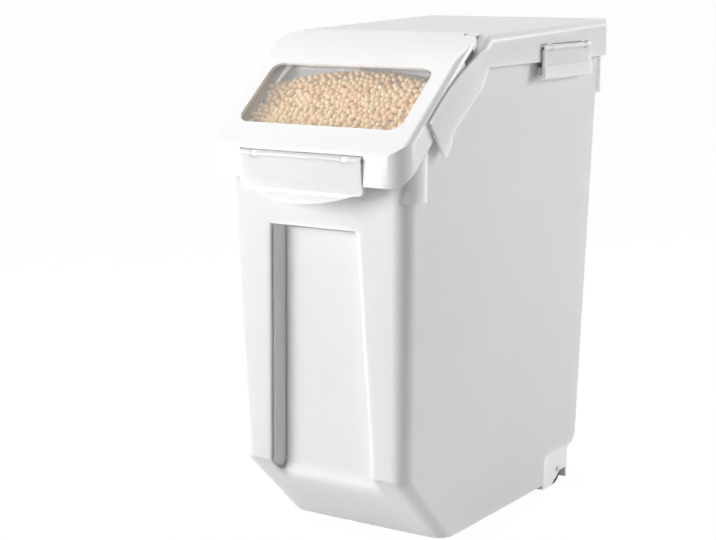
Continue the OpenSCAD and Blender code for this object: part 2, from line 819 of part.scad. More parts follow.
module front_latch() {
    color("gainsboro") difference() {
        intersection() {
            union() {
                along_x(FAR) latch_outline();
                latch_bar(latch_barrel_r, -latch_w / 2, latch_w / 2);
            }
            rotate([90, 0, 0]) linear_extrude(height = 2 * FAR, center = true) latch_face();
        }
        latch_lugs(side_play);
        latch_bar(pin_r - 0.25 + pin_play, -latch_w, latch_w);
    }
}

module latch_pin() {
    x = latch_lug_x + latch_lug_w / 2 + 4;
    color("silver") latch_bar(pin_r - 0.25, -x, x);
}

module clip_outline() {
    x_in = clip_in_x - clip_pin_x;
    x_out = x_in + clip_t;
    z_low = clip_low_z - clip_pin_z;
    z_hook = clip_hook_z - clip_pin_z;
    x_hook = ledge_x - hook_reach - clip_pin_x;
    polygon([[x_in, 0], [x_out, 0], [x_out, z_low + 12], [x_out + 1.2, z_low + 11], [x_out + 1.2, z_low + 1],
        [x_out, z_low], [x_in, z_low], [x_hook, z_hook], [x_hook, z_hook + clip_hook_h],
        [x_in, z_hook + clip_hook_h]]);
}

module side_clip(side) {
    color("whitesmoke") clip_side(side) difference() {
        union() {
            clip_bar(clip_barrel_r, -clip_l / 2, clip_l / 2);
            mirror([side > 0 ? 0 : 1, 0, 0]) translate([0, clip_l / 2, 0]) rotate([90, 0, 0])
                linear_extrude(height = clip_l) clip_outline();
        }
        clip_lugs(side, side_play);
        clip_bar(clip_pin_r + pin_play, -clip_l, clip_l);
    }
}

module clip_pin(side) {
    x = clip_lug_at + clip_lug_w / 2 + 4;
    color("silver") clip_side(side) clip_bar(clip_pin_r, -x, x);
}

module bracket_outline() {
    boss = axle_r + 3.2;
    z_open = axle_z - 3;
    polygon([[bracket_front_y, step_z], [bracket_front_y, 4], [axle_y - 11, 3], [axle_y - boss, axle_z - 10],
        [axle_y + 1, axle_z - boss - 1], [axle_y + boss, z_open], [bracket_rear_y, z_open],
        [bracket_rear_y, step_z - 7], [bracket_rear_y + 5, step_z]]);
}

module bracket_wall(y, z) {
    translate([bracket_in_x, y, z]) cube([bracket_out_x - bracket_in_x, bracket_t, step_z - z]);
}

module wheel_bracket(side) {
    color("white") mirror([side > 0 ? 0 : 1, 0, 0]) difference() {
        union() {
            for (x = [bracket_in_x, bracket_out_x - bracket_t])
                translate([x + bracket_t / 2, 0, 0]) along_x(bracket_t) bracket_outline();
            bracket_wall(bracket_front_y, 4);
            bracket_wall(bracket_rear_y - bracket_t, 5);
            translate([bracket_in_x, bracket_front_y, step_z - bracket_t / 2])
                cube([bracket_out_x - bracket_in_x, bracket_rear_y + 5 - bracket_front_y, bracket_t / 2]);
        }
        axle_bar(axle_r + pin_play, bracket_in_x - 1, bracket_out_x + 1);
    }
}

module axle_bar(r, x0, x1) {
    translate([x0, axle_y, axle_z]) rotate([0, 90, 0]) cylinder(h = x1 - x0, r = r);
}

module axle(side) {
    color("silver") mirror([side > 0 ? 0 : 1, 0, 0])
        axle_bar(axle_r, bracket_in_x - 0.8, bracket_out_x + 0.8);
}

// Turns a profile of (radius, distance along the axle) about the axle.
module about_axle(side) {
    translate([side * wheel_x, axle_y, axle_z]) rotate([0, 90, 0]) rotate_extrude() children();
}

module wheel(side) {
    r = wheel_r - tyre_t;
    bore = axle_r + pin_play;
    half = wheel_w / 2;
    web = wheel_w / 4;
    rim = 2.2;
    hub = axle_r + 2.4;
    color("lightgray") about_axle(side)
        polygon([[bore, -half], [hub, -half], [hub, -web], [r - rim, -web], [r - rim, -half + 1],
            [r, -half + 1], [r, half - 1], [r - rim, half - 1], [r - rim, web], [hub, web], [hub, half],
            [bore, half]]);
}

module tyre(side) {
    r = wheel_r - tyre_t + 0.05;
    half = wheel_w / 2 - 0.5;
    bend = min(2, tyre_t / 2);
    color("black") about_axle(side)
        polygon(concat([[r, -half]], arc([wheel_r - bend, bend - half], bend, -90, 0, 6),
            arc([wheel_r - bend, half - bend], bend, 0, 90, 6), [[r, half]]));
}

module grain() {
    y_crest = ridge_y + grain_crest;
    z_crest = grain_front_z + (y_crest - front_top_y) * tan(grain_slope);
    color("burlywood") intersection() {
        difference() {
            tub_cavity(wall + grain_gap);
            for (side = [-1, 1]) foot_at(side)
                cylinder(h = floor_z + foot_plug_h + wall + grain_gap, r = foot_plug_r + wall + grain_gap);
        }
        along_x(FAR) polygon([[front_top_y, 0], [front_top_y, grain_front_z], [y_crest, z_crest],
            [cap_rear_y, z_crest - (cap_rear_y - y_crest) * tan(grain_fall)], [cap_rear_y, 0]]);
        along_x(FAR) under_cap(rim_drop + grain_gap, -FAR, FAR);
    }
}

tub();
cover();
cover_seal();
flip_lid();
window();
lid_seal();
hinge_pin(-1);  // hinge_pin_left
hinge_pin(1);  // hinge_pin_right
front_latch();
latch_pin();
side_clip(-1);  // side_clip_left
side_clip(1);  // side_clip_right
clip_pin(-1);  // clip_pin_left
clip_pin(1);  // clip_pin_right
wheel_bracket(-1);  // wheel_bracket_left
wheel_bracket(1);  // wheel_bracket_right
axle(-1);  // axle_left
axle(1);  // axle_right
wheel(-1);  // wheel_left
wheel(1);  // wheel_right
tyre(-1);  // tyre_left
tyre(1);  // tyre_right
front_foot(-1);  // front_foot_left
front_foot(1);  // front_foot_right
grain();
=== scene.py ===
import math
import random

import bmesh
import bpy
import numpy as np
from mathutils import Matrix, Vector, kdtree


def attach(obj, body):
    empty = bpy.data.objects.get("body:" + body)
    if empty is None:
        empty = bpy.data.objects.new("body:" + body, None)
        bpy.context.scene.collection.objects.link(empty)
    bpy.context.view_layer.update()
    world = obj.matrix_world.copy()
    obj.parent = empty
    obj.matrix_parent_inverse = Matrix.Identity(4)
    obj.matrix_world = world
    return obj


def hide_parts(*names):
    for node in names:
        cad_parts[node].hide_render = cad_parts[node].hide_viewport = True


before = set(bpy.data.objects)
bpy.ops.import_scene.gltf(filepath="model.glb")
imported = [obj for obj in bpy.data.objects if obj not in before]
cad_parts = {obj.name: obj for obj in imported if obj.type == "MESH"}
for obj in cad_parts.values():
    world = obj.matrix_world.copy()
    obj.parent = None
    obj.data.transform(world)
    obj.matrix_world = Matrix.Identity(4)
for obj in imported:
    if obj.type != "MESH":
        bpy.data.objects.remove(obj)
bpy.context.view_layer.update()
mm = 0.001
print("rice bin: frame loaded,", len(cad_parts), "solids")

binShape = {  # millimetres, as the bin was drawn
    "ridgeY": -53.452, "ridgeZ": 455.0, "slope": 39.0, "lidHalf": 100.996,
    "topRise": 2.5, "topGain": 8.0, "topRear": 195.5,  # the cover's flat top, from the ridge to the rear
    "tubHalf": 85.0, "floorZ": 10.0, "tubFrontY": -157.5, "tubRearY": 181.5,
    "sideLean": 1.84, "frontLean": 2.67, "rearLean": 0.74, "wall": 2.8, "rimDrop": 6.2,
    "railFlat": 96.99, "railEnd": 116.99, "railHigh": 10.4, "railFall": 16.6,  # the rails beside the lid
    "mouthHalf": 88.0, "mouthStart": 31.0, "mouthEnd": 145.99, "mouthRound": 12.0,
}
slopeSin = math.sin(math.radians(binShape["slope"]))
slopeCos = math.cos(math.radians(binShape["slope"]))


def sideAt(z):
    return binShape["tubHalf"] + (z - binShape["floorZ"]) * math.tan(math.radians(binShape["sideLean"]))


def frontAt(z):
    return binShape["tubFrontY"] - (z - binShape["floorZ"]) * math.tan(math.radians(binShape["frontLean"]))


def rearAt(z):
    return binShape["tubRearY"] + (z - binShape["floorZ"]) * math.tan(math.radians(binShape["rearLean"]))


def addToScene(name, data):
    thing = bpy.data.objects.new(name, data)
    bpy.context.scene.collection.objects.link(thing)
    return thing


cameraSet = {"place": (0.8007, -1.3240, 0.51695), "right": (0.83679, 0.54752, -0.00023),
             "up": (-0.09823, 0.15055, 0.98371), "lens": 84.0, "sensor": 36.0, "near": 0.05, "far": 100}


def makeCamera():
    data = bpy.data.cameras.new("viewCamera")
    data.lens, data.sensor_width, data.sensor_fit = cameraSet["lens"], cameraSet["sensor"], "HORIZONTAL"
    data.clip_start, data.clip_end = cameraSet["near"], cameraSet["far"]
    cam = addToScene("viewCamera", data)
    right, up = Vector(cameraSet["right"]).normalized(), Vector(cameraSet["up"])
    up = (up - right * up.dot(right)).normalized()
    turn = Matrix((right, up, right.cross(up))).transposed().to_4x4()
    cam.matrix_world = Matrix.Translation(cameraSet["place"]) @ turn
    bpy.context.scene.camera = cam


makeCamera()
print("camera placed")


def newFinish(name):
    mat = bpy.data.materials.new(name)
    mat.use_nodes = True
    tree = mat.node_tree
    return mat, tree, tree.nodes["Principled BSDF"]


def noiseOn(tree, scale, detail):
    where = tree.nodes.new("ShaderNodeTexCoord")
    noise = tree.nodes.new("ShaderNodeTexNoise")
    noise.inputs["Scale"].default_value = scale
    noise.inputs["Detail"].default_value = detail
    tree.links.new(where.outputs["Object"], noise.inputs["Vector"])
    return noise.outputs["Fac"]


def rampOn(tree, source, stops):
    ramp = tree.nodes.new("ShaderNodeValToRGB")
    while len(ramp.color_ramp.elements) < len(stops):
        ramp.color_ramp.elements.new(0.5)
    for element, (at, colour) in zip(ramp.color_ramp.elements, stops):
        element.position = at
        element.color = (*colour, 1)
    tree.links.new(source, ramp.inputs["Fac"])
    return ramp.outputs["Color"]


def spreadOn(tree, source, low, high):
    spread = tree.nodes.new("ShaderNodeMapRange")
    spread.inputs["To Min"].default_value = low
    spread.inputs["To Max"].default_value = high
    tree.links.new(source, spread.inputs["Value"])
    return spread.outputs["Result"]


def bumpOn(tree, shader, source, strength, distance):
    bump = tree.nodes.new("ShaderNodeBump")
    bump.inputs["Strength"].default_value = strength
    bump.inputs["Distance"].default_value = distance
    tree.links.new(source, bump.inputs["Height"])
    tree.links.new(bump.outputs["Normal"], shader.inputs["Normal"])


def mixShaders(tree, share, first, second):
    mix = tree.nodes.new("ShaderNodeMixShader")
    tree.links.new(share, mix.inputs["Fac"])
    tree.links.new(first, mix.inputs[1])
    tree.links.new(second, mix.inputs[2])
    return mix.outputs["Shader"]


# rough is the spread of roughness, grain the fineness of the skin's bumps and strength their height;
# shade is how much darker the mottling goes, glow and deep how much light the plastic lets in and how far
plasticLooks = {
    "tub": {"name": "tubPlastic", "colour": (0.90, 0.90, 0.903), "rough": (0.34, 0.46),
            "glow": 0.8, "deep": 0.014},
    # the cover's colour is set darker than the tub's same white plastic: painted shade, for its greyer
    # up-facing top
    "cover": {"name": "coverPlasticPaintedShade", "colour": (0.75, 0.751, 0.755), "rough": (0.3, 0.42), "glow": 0.8},
    "lid": {"name": "lidPlastic", "colour": (0.815, 0.817, 0.822), "rough": (0.28, 0.38)},
    "latch": {"name": "latchPlastic", "colour": (0.79, 0.792, 0.797), "rough": (0.26, 0.38), "glow": 0.8},
    "bracket": {"name": "bracketPlastic", "colour": (0.86, 0.862, 0.868), "rough": (0.34, 0.46)},
    "wheel": {"name": "wheelPlastic", "colour": (0.74, 0.745, 0.75), "rough": (0.36, 0.5)},
    # the seal's bright, warm tone is partly its own pale colour and partly painted light: the warm light the
    # beans bounce inside the lid, on a seal that lies in shade
    "seal": {"name": "sealRubberPaintedWarmLight", "colour": (0.93, 0.90, 0.85), "rough": (0.5, 0.65), "glow": 0.8,
             "grain": 500, "strength": 0.2},
    "tyre": {"name": "tyreRubber", "colour": (0.035, 0.035, 0.037), "rough": (0.55, 0.75),
             "grain": 1200, "strength": 0.4, "shade": 0.2},
    "foot": {"name": "footRubber", "colour": (0.16, 0.16, 0.165), "rough": (0.55, 0.75),
             "grain": 1200, "strength": 0.4, "shade": 0.2},
}
skinGrain = {"mottleScale": 7, "mottleStart": 0.35, "mottleEnd": 0.7, "roughScale": 45, "bumpDepth": 0.0001,
             "ior": 1.49}


def mouldedPlastic(name, colour, rough, grain=900, strength=0.12, shade=0.025, glow=0.0, deep=0.012):
    mat, tree, shader = newFinish(name)
    s = skinGrain
    dark = tuple(c * (1 - shade) for c in colour)
    stops = [(s["mottleStart"], dark), (s["mottleEnd"], colour)]
    mottle = rampOn(tree, noiseOn(tree, s["mottleScale"], 3), stops)
    tree.links.new(mottle, shader.inputs["Base Color"])
    tree.links.new(spreadOn(tree, noiseOn(tree, s["roughScale"], 4), *rough), shader.inputs["Roughness"])
    bumpOn(tree, shader, noiseOn(tree, grain, 3), strength, s["bumpDepth"])
    shader.inputs["IOR"].default_value = s["ior"]
    shader.inputs["Subsurface Weight"].default_value = glow
    shader.inputs["Subsurface Radius"].default_value = (1.0, 1.0, 1.0)
    shader.inputs["Subsurface Scale"].default_value = deep
    return mat


finishes = {part: mouldedPlastic(**look) for part, look in plasticLooks.items()}

pinLook = {"dull": (0.55, 0.56, 0.57), "bright": (0.72, 0.73, 0.74), "rough": (0.22, 0.4), "bump": 0.1}


def brushedSteel():
    mat, tree, shader = newFinish("pinSteel")
    shader.inputs["Metallic"].default_value = 1.0
    streaks = rampOn(tree, noiseOn(tree, 60, 3), [(0.3, pinLook["dull"]), (0.7, pinLook["bright"])])
    tree.links.new(streaks, shader.inputs["Base Color"])
    tree.links.new(spreadOn(tree, noiseOn(tree, 300, 4), *pinLook["rough"]), shader.inputs["Roughness"])
    bumpOn(tree, shader, noiseOn(tree, 1500, 2), pinLook["bump"], 0.0001)
    return mat


finishes["pin"] = brushedSteel()

windowLook = {"clear": (0.995, 0.995, 0.995), "rough": (0.03, 0.08), "gloss": (0.08, 0.75), "steep": 4.0,
              "film": (1.0, 0.95, 0.90), "cloud": (0.03, 0.07)}


def clearPlastic():
    mat, tree, shader = newFinish("windowClear")
    tree.nodes.remove(shader)
    clear = tree.nodes.new("ShaderNodeBsdfTransparent")
    clear.inputs["Color"].default_value = (*windowLook["clear"], 1)
    gloss = tree.nodes.new("ShaderNodeBsdfGlossy")
    gloss.inputs["Color"].default_value = (1, 1, 1, 1)
    tree.links.new(spreadOn(tree, noiseOn(tree, 30, 3), *windowLook["rough"]), gloss.inputs["Roughness"])
    film = tree.nodes.new("ShaderNodeBsdfDiffuse")  # the faint cloudiness of moulded clear plastic
    film.inputs["Color"].default_value = (*windowLook["film"], 1)
    facing = tree.nodes.new("ShaderNodeLayerWeight")
    facing.inputs["Blend"].default_value = 0.5
    steep = tree.nodes.new("ShaderNodeMath")
    steep.operation = "POWER"
    steep.inputs[1].default_value = windowLook["steep"]
    tree.links.new(facing.outputs["Facing"], steep.inputs[0])
    cloud = spreadOn(tree, noiseOn(tree, 12, 3), *windowLook["cloud"])
    cloudy = mixShaders(tree, cloud, clear.outputs["BSDF"], film.outputs["BSDF"])
    shine = spreadOn(tree, steep.outputs["Value"], *windowLook["gloss"])
    pane = mixShaders(tree, shine, cloudy, gloss.outputs["BSDF"])
    tree.links.new(pane, tree.nodes["Material Output"].inputs["Surface"])
    return mat


finishes["window"] = clearPlastic()

soybeanLook = {
    "pale": (0.99, 0.73, 0.39), "gold": (0.92, 0.58, 0.24), "tan": (0.995, 0.85, 0.55),
    "dust": (0.93, 0.90, 0.86), "eye": (0.36, 0.19, 0.08), "eyeSize": (1.6, 2.4, 7.0), "rough": (0.35, 0.55),
}


def soybeanSkin():
    mat, tree, shader = newFinish("soybeanSkin")
    look = soybeanLook
    geometry = tree.nodes.new("ShaderNodeNewGeometry")
    each = rampOn(tree, geometry.outputs["Random Per Island"],
                  [(0.0, look["gold"]), (0.35, look["pale"]), (0.8, look["tan"]), (1.0, look["pale"])])
    mottle = rampOn(tree, noiseOn(tree, 500, 2), [(0.3, look["dust"]), (0.65, (1, 1, 1))])
    skin = tree.nodes.new("ShaderNodeMix")
    skin.data_type, skin.blend_type = "RGBA", "MULTIPLY"
    skin.inputs["Factor"].default_value = 1.0
    tree.links.new(each, skin.inputs["A"])
    tree.links.new(mottle, skin.inputs["B"])
    where = tree.nodes.new("ShaderNodeAttribute")
    where.attribute_name = "beanPlace"
    apart = tree.nodes.new("ShaderNodeVectorMath")  # measured from the eye, at one end of the bean
    apart.operation = "MULTIPLY_ADD"
    apart.inputs[1].default_value = look["eyeSize"]
    apart.inputs[2].default_value = (-look["eyeSize"][0], 0, 0)
    far = tree.nodes.new("ShaderNodeVectorMath")
    far.operation = "LENGTH"
    tree.links.new(where.outputs["Vector"], apart.inputs[0])
    tree.links.new(apart.outputs["Vector"], far.inputs[0])
    eyeShare = rampOn(tree, far.outputs["Value"], [(0.75, (1, 1, 1)), (1.0, (0, 0, 0))])
    top = tree.nodes.new("ShaderNodeMix")
    top.data_type = "RGBA"
    top.inputs["B"].default_value = (*look["eye"], 1)
    tree.links.new(eyeShare, top.inputs["Factor"])
    tree.links.new(skin.outputs["Result"], top.inputs["A"])
    tree.links.new(top.outputs["Result"], shader.inputs["Base Color"])
    tree.links.new(spreadOn(tree, noiseOn(tree, 200, 2), *look["rough"]), shader.inputs["Roughness"])
    bumpOn(tree, shader, noiseOn(tree, 900, 2), 0.15, 0.0002)
    return mat


finishes["soybean"] = soybeanSkin()
print("finishes made:", len(finishes))


def finishMesh(name, bm, body, finish, nodes=(), sharp=40):
    mesh = bpy.data.meshes.new(name)
    bmesh.ops.recalc_face_normals(bm, faces=bm.faces[:])
    bm.to_mesh(mesh)
    bm.free()
    mesh.polygons.foreach_set("use_smooth", [True] * len(mesh.polygons))
    mesh.set_sharp_from_angle(angle=math.radians(sharp))
    mesh.materials.append(finishes[finish])
    piece = addToScene(name, mesh)
    even = piece.modifiers.new("evenShading", "WEIGHTED_NORMAL")  # large faces stay flat beside round edges
    even.keep_sharp = True
    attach(piece, body)
    if nodes:
        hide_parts(*nodes)


def fromSolid(node):
    bm = bmesh.new()
    bm.from_mesh(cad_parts[node].data)
    bmesh.ops.remove_doubles(bm, verts=bm.verts[:], dist=2e-5)
    bmesh.ops.dissolve_limit(bm, angle_limit=math.radians(0.7), verts=bm.verts[:], edges=bm.edges[:])
    return bm


def roundEdges(bm, width, sharp=28, segments=3, pick=None):
    chosen = [e for e in bm.edges if len(e.link_faces) == 2 and e.calc_face_angle() > math.radians(sharp)
              and (pick is None or pick(e))]
    bmesh.ops.bevel(bm, geom=chosen, offset=width * mm, offset_type="OFFSET", segments=segments, profile=0.5,
                    affect="EDGES", clamp_overlap=True)
    return len(chosen)


def slopePlace(v):  # run down the slope and height off it
    y, z = v.co.y / mm - binShape["ridgeY"], v.co.z / mm - binShape["ridgeZ"]
    return -(y * slopeCos + z * slopeSin), z * slopeCos - y * slopeSin


def bend(bm, axis, cuts, shift):  # cuts the mesh across an axis at the given places, then moves its points
    for at in cuts:
        place, way = Vector((0, 0, 0)), Vector((0, 0, 0))
        place[axis], way[axis] = at * mm, 1
        bmesh.ops.bisect_plane(bm, geom=bm.verts[:] + bm.edges[:] + bm.faces[:], dist=1e-6,
                               plane_co=place, plane_no=way)
    for v in bm.verts:
        v.co += Vector(shift(*(v.co / mm))) * mm


latchLip = {"fold": 331.0, "tip": 323.5, "top": 341.0, "in": 1.5, "cuts": (-6, -3, -1, 0, 1, 3, 6, 10)}


def latchFold(x, y, z):  # the panel turns in above the lip and out again at its tip
    end = latchLip["tip"] if z < latchLip["fold"] else latchLip["top"]
    far = (z - end) / (latchLip["fold"] - end)
    return 0, latchLip["in"] * max(0, min(1, far)), 0


coverRear = {"y": 195.5, "round": 7.0, "low": 446.0, "high": 456.0, "most": 0.93,
             "cuts": (1, 0.75, 0.5, 0.3, 0.15, 0.05)}


def coverRound(x, y, z):  # the flat top rolls over at the rear
    r = coverRear["round"]
    far = max(0, min(r, y - (coverRear["y"] - r)))
    share = max(0, min(1, (z - coverRear["low"]) / (coverRear["high"] - coverRear["low"])))
    drop = r - math.sqrt(r * r - far * far) if far < r else r * coverRear["most"]
    return 0, 0, -share * drop


lidSide = {"round": 4.5, "near": 0.05, "above": 10, "from": 25, "to": 135}


def onLidSide(edge):  # the lid's long upper edges, between its corners
    for v in edge.verts:
        s, n = slopePlace(v)
        if abs(abs(v.co.x) / mm - binShape["lidHalf"]) > lidSide["near"] or n < lidSide["above"]:
            return False
        if s < lidSide["from"] or s > lidSide["to"]:
            return False
    return abs(edge.verts[0].co.x - edge.verts[1].co.x) < 1e-5


railTop = {"round": 1.35, "near": 0.6}


def onRailTop(edge):
    b = binShape
    for v in edge.verts:
        s, n = slopePlace(v)
        fall = b["railFall"] * (max(0, b["railFlat"] - s) / b["railFlat"]) ** 2
        if abs(v.co.x) < b["lidHalf"] * mm or s > b["railEnd"] + 1:
            return False
        if abs(n - b["railHigh"] + fall) > railTop["near"]:
            return False
    return True


shells = {  # the body each rides on, its finish and slot, and how far its edges are rounded
    "cover": {"body": "base", "finish": "cover", "slot": "cover_plastic", "round": 0.8},
    "flip_lid": {"body": "lid", "finish": "lid", "slot": "lid_plastic", "round": 0.9},
    "front_latch": {"body": "latch", "finish": "latch", "slot": "latch_plastic", "round": 0.6},
    "side_clip_left": {"body": "clip_left", "finish": "latch", "slot": "latch_plastic", "round": 0.6},
    "side_clip_right": {"body": "clip_right", "finish": "latch", "slot": "latch_plastic", "round": 0.6},
    "window": {"body": "lid", "finish": "window", "slot": "clear_window", "round": 0.3},
    "wheel_bracket_left": {"body": "base", "finish": "bracket", "slot": "wheel_plastic", "round": 0.5},
    "wheel_bracket_right": {"body": "base", "finish": "bracket", "slot": "wheel_plastic", "round": 0.5},
}


def makeShells():
    for node, shell in shells.items():
        bm = fromSolid(node)
        count = 0
        if node == "cover":
            count = roundEdges(bm, railTop["round"], segments=5, pick=onRailTop)
            bend(bm, 1, [coverRear["y"] - coverRear["round"] * k for k in coverRear["cuts"]], coverRound)
        if node == "front_latch":
            bend(bm, 2, [latchLip["fold"] + k for k in latchLip["cuts"]], latchFold)
        if node == "flip_lid":
            count = roundEdges(bm, lidSide["round"], segments=6, pick=onLidSide)
        count += roundEdges(bm, shell["round"])
        finishMesh(node + "Shell", bm, shell["body"], shell["finish"], (node,))
        print("rounded", node, count, "edges")


makeShells()

keptFinishes = {
    "cover_seal": "seal", "lid_seal": "seal", "latch_pin": "pin",
    "hinge_pin_left": "pin", "hinge_pin_right": "pin", "clip_pin_left": "pin", "clip_pin_right": "pin",
    "axle_left": "pin", "axle_right": "pin", "wheel_left": "wheel", "wheel_right": "wheel",
    "tyre_left": "tyre", "tyre_right": "tyre", "front_foot_left": "foot", "front_foot_right": "foot",
}
for node, finish in keptFinishes.items():
    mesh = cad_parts[node].data
    mesh.materials.clear()
    mesh.materials.append(finishes[finish])
print("solids kept as drawn:", len(keptFinishes))

tubForm = {
    "cornerR": 15.0, "cornerCuts": 10, "toeY": -87.0, "toeTop": 80.0, "toeSlope": 1.05377, "toeInset": 1.45,
    "stepY": 107.5, "stepZ": 40.0, "bevel": 30.0, "bevelTop": 48.0, "edge": 1.2, "lip": 0.5, "lipDrop": 0.6,
    "recessTop": 296.958, "recessTopHalf": 44.5, "recessGain": 9.0, "recessDepth": 14.4, "recessDraft": 4.0,
    "soft": 2.2, "shoulder": 330,
}


def capUnder(y, drop):  # the cover's outer surface, lowered by a drop
    b = binShape
    gain = (y - b["ridgeY"]) * b["topGain"] / (b["topRear"] - b["ridgeY"])
    flat = b["ridgeZ"] + b["topRise"] + gain - drop
    slope = b["ridgeZ"] + (y - b["ridgeY"]) * slopeSin / slopeCos - drop / slopeCos
    return min(flat, slope)


def recessProfile(start, inset, z):  # half the front wall's width, with how deep each point lies
    t = tubForm
    soft, draft = t["soft"], t["recessDraft"]
    wide = t["recessTopHalf"] + max(0, t["recessTop"] - z) * t["recessGain"] / (t["recessTop"] - t["toeTop"])
    wide -= inset
    return [(start, 0), (wide + soft * 2.5, 0), (wide + soft, 0), (wide + soft * 0.35, 0.04), (wide, 0.16),
            (wide - draft * 0.5, 0.5), (wide - draft, 0.84), (wide - draft - soft * 0.35, 0.96),
            (wide - draft - soft, 1), (0, 1)]


def ringAt(z, inset=0.0, recess=True, cut=True):  # one level of the tub, anticlockwise from the front left
    t = tubForm
    half, front, rear = sideAt(z) - inset, frontAt(z) + inset, rearAt(z) - inset
    if z < t["toeTop"]:
        front = max(front, t["toeY"] - (z - binShape["floorZ"]) * t["toeSlope"] + inset * t["toeInset"])
    if z < t["bevelTop"]:
        rear -= t["bevel"] * (t["bevelTop"] - z) / (t["bevelTop"] - binShape["floorZ"])
    r = t["cornerR"] - inset
    back = frontAt(z) + t["recessDepth"] + inset
    profile = recessProfile(half - r, inset, z)
    across = [(-x, d) for x, d in profile] + profile[-2::-1]
    points = [(x, front + (max(back, front) - front) * d * (1 if recess else 0)) for x, d in across]

    def arc(cx, cy, start):
        turns = [math.radians(start + 90 * i / t["cornerCuts"]) for i in range(1, t["cornerCuts"])]
        return [(cx + r * math.cos(a), cy + r * math.sin(a)) for a in turns]

    points += arc(half - r, front + r, -90)
    sideRun = [front + r, front + r + 8, -20.0, 60.0, t["stepY"], t["stepY"] + 25, rear - r]
    points += [(half, y) for y in sideRun]
    points += arc(half - r, rear - r, 0)
    points += [(x, rear) for x in (half - r, half * 0.4, 0, -half * 0.4, r - half)]
    points += arc(r - half, rear - r, 90)
    points += [(-half, y) for y in reversed(sideRun)]
    points += arc(r - half, front + r, 180)
    if cut and z <= t["stepZ"] + 0.001:
        points = [(x, min(y, t["stepY"] - inset)) for x, y in points]
    return points


def levels(heights, inset=0.0, recess=True, cut=True):
    return [[(x, y, z) for x, y in ringAt(z, inset, recess, cut)] for z in heights]


def topRing(inset, drop):  # follows the underside of the cover
    ring = []
    for i in range(len(ringAt(400, inset, False))):
        z = 400.0
        for _ in range(5):
            x, y = ringAt(z, inset, False)[i]
            z = capUnder(y, drop)
        ring.append((x, y, z))
    return ring


def skin(bm, rings):  # joins rings of points, given in millimetres, and returns their vertices
    rows = [[bm.verts.new((x * mm, y * mm, z * mm)) for x, y, z in ring] for ring in rings]
    for low, high in zip(rows, rows[1:]):
        for i in range(len(low)):
            j = (i + 1) % len(low)
            bm.faces.new((low[i], low[j], high[j], high[i]))
    return rows


def makeTub():
    t, b = tubForm, binShape
    w, drop, top, edge = b["wall"], b["rimDrop"], t["recessTop"], b["floorZ"] + t["edge"]
    rings = [[(x * 0.985, y * 0.99 + 0.4, b["floorZ"]) for x, y in ringAt(edge)]]  # drawn in underneath
    rings += levels((edge, 20, 30, t["stepZ"] - 0.01))
    rings += levels((t["stepZ"], 44, t["bevelTop"], 60, 70, t["toeTop"] - 3, t["toeTop"] + 2.5), cut=False)
    rings += levels((110, 160, 220, top - 6, top - 0.8))
    rings += levels((top + 0.6, top + 6, t["shoulder"]), recess=False)
    rings += [topRing(0, drop + t["lipDrop"]), topRing(t["lip"], drop)]
    rings += [topRing(w - t["lip"], drop), topRing(w, drop + t["lipDrop"])]
    rings += levels((t["shoulder"], top + 6, top + w), w, recess=False)
    rings += levels((top - 4, 220, 160, 110, t["toeTop"], 60, t["bevelTop"]), w)
    rings += levels((t["stepZ"] + w,), w, cut=False)
    well = levels((t["stepZ"] + w - 0.01, 30, b["floorZ"] + w), w, cut=False)
    rings += [[(x, min(y, t["stepY"] - w), z) for x, y, z in ring] for ring in well]
    bm = bmesh.new()
    rows = skin(bm, rings)
    bm.faces.new(rows[0][::-1])
    bm.faces.new(rows[-1])
    bmesh.ops.remove_doubles(bm, verts=bm.verts[:], dist=3e-6)
    finishMesh("tubShell", bm, "base", "tub", ("tub",), 35)


earShape = {"x": 101.07, "r": 22.0, "z": 323.458, "skin": 1.5, "drop": 9, "round": 1.0}


def makeEars():  # the blocks at the tub's front corners
    e, inner = earShape, tubForm["cornerR"]
    front, r, start = frontAt(e["z"]), e["r"], sideAt(e["z"]) - inner
    fit = inner - e["skin"]
    outline = [(start, front)]
    for a in range(6, 91, 6):
        turn = math.radians(a)
        outline.append((e["x"] - r * (1 - math.sin(turn)), front + r * (1 - math.cos(turn))))
    outline.append((start + fit, front + r))
    for a in range(0, 91, 15):
        turn = math.radians(a)
        outline.append((start + fit * math.cos(turn), front + inner - fit * math.sin(turn)))
    for side, name in ((-1, "tubEarLeft"), (1, "tubEarRight")):
        bm = bmesh.new()
        low = [(side * x, y, e["z"]) for x, y in outline]
        top = [(side * x, y, capUnder(y, e["drop"])) for x, y in outline]
        rows = skin(bm, (low, top))
        bm.faces.new(rows[0])
        bm.faces.new(rows[1])
        bmesh.ops.recalc_face_normals(bm, faces=bm.faces[:])
        roundEdges(bm, e["round"], 40)
        finishMesh(name, bm, "base", "tub", (), 35)


rimShape = {"reach": 2.2, "high": 12.0, "end": -141.3, "lowIn": 1.0}


def makeRim():
    t, drop = rimShape, binShape["rimDrop"]
    bm = bmesh.new()
    outer = topRing(-t["reach"], drop + 0.4)
    low = drop + t["high"]
    rings = (topRing(0.4, drop), outer, topRing(-t["reach"], low), topRing(t["lowIn"], low))
    rows = [[bm.verts.new((x * mm, y * mm, z * mm)) for x, y, z in ring] for ring in rings]
    for a, b in zip(rows, rows[1:]):
        for i in range(len(outer)):
            j = (i + 1) % len(outer)
            if min(outer[i][1], outer[j][1]) > t["end"]:
                bm.faces.new((a[i], a[j], b[j], b[i]))
    for v in [v for v in bm.verts if not v.link_faces]:
        bm.verts.remove(v)
    finishMesh("tubRim", bm, "base", "tub", (), 35)


